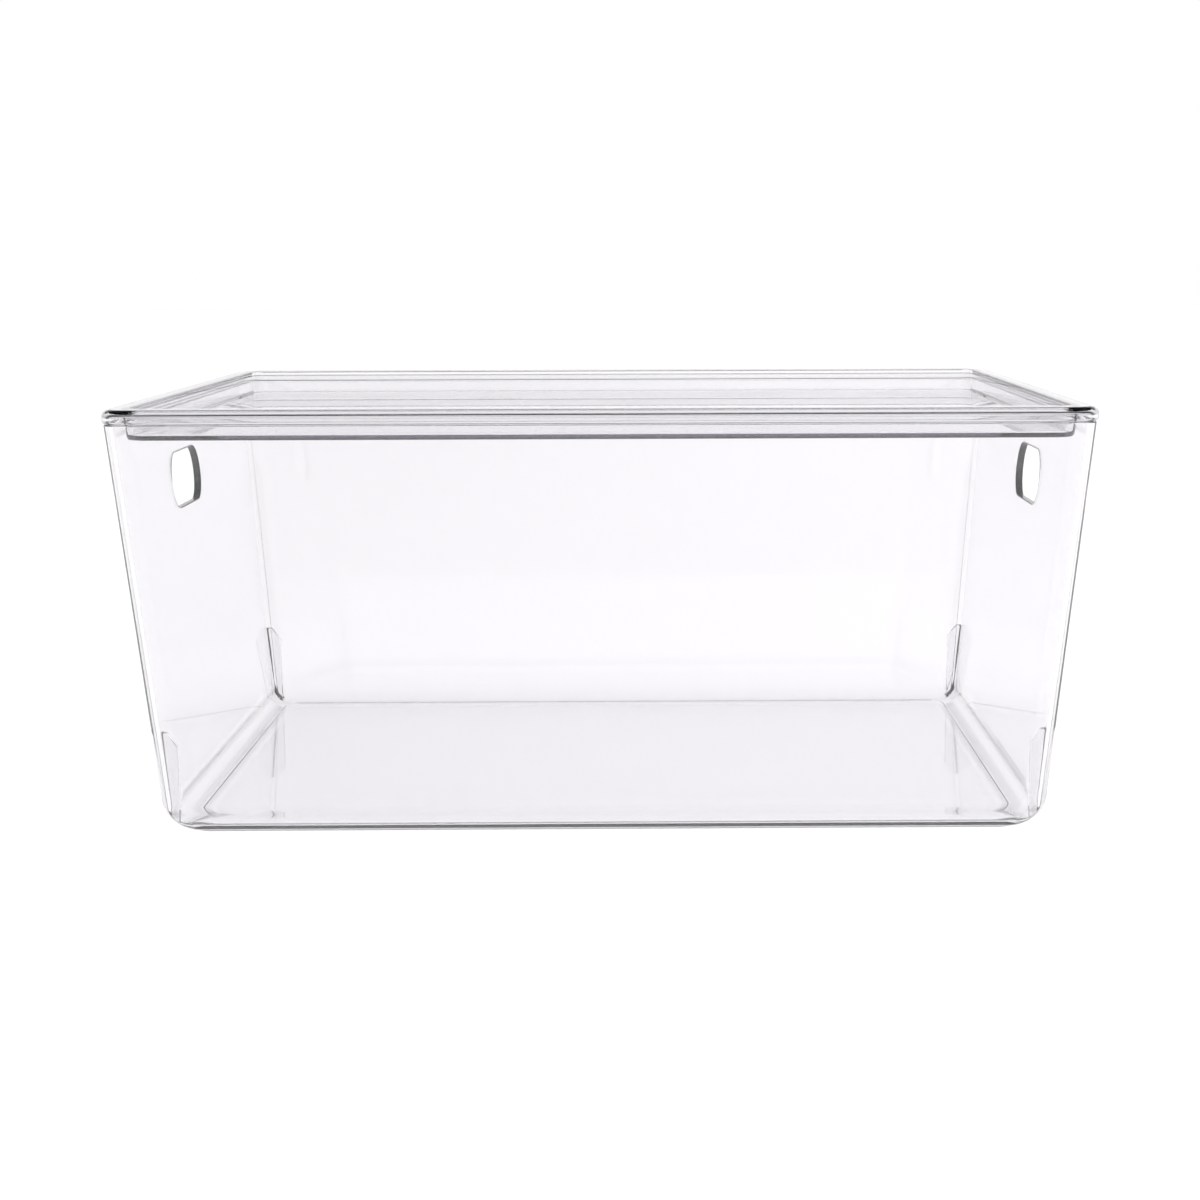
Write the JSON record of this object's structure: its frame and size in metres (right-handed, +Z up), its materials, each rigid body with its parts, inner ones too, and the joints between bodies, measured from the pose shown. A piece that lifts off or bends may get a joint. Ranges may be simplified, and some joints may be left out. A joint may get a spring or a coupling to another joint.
{
  "type": "fridge bin",
  "caption": "Clear rectangular storage bin with tapered walls, a hand slot through each end, inner nesting ribs, and a lift-off lid whose tray takes the foot of a bin stacked on top.",
  "frame": {"origin": "middle of the underside, on the surface that the bin stands on", "axes": "+X along the length from hand slot to hand slot, +Y from front to back, +Z up"},
  "size_m": [0.324, 0.213, 0.1463],
  "materials": {
    "clear_plastic": "clear, polished, very faintly violet in thick sections"
  },
  "bodies": {
    "bin": {"bin": "clear_plastic"},
    "lid": {"lid": "clear_plastic"}
  },
  "joints": [
    {"name": "lid_lift", "type": "slide", "parent": "bin", "child": "lid", "axis": [0, 0, 1], "range_m": [0, 0.12]}
  ]
}
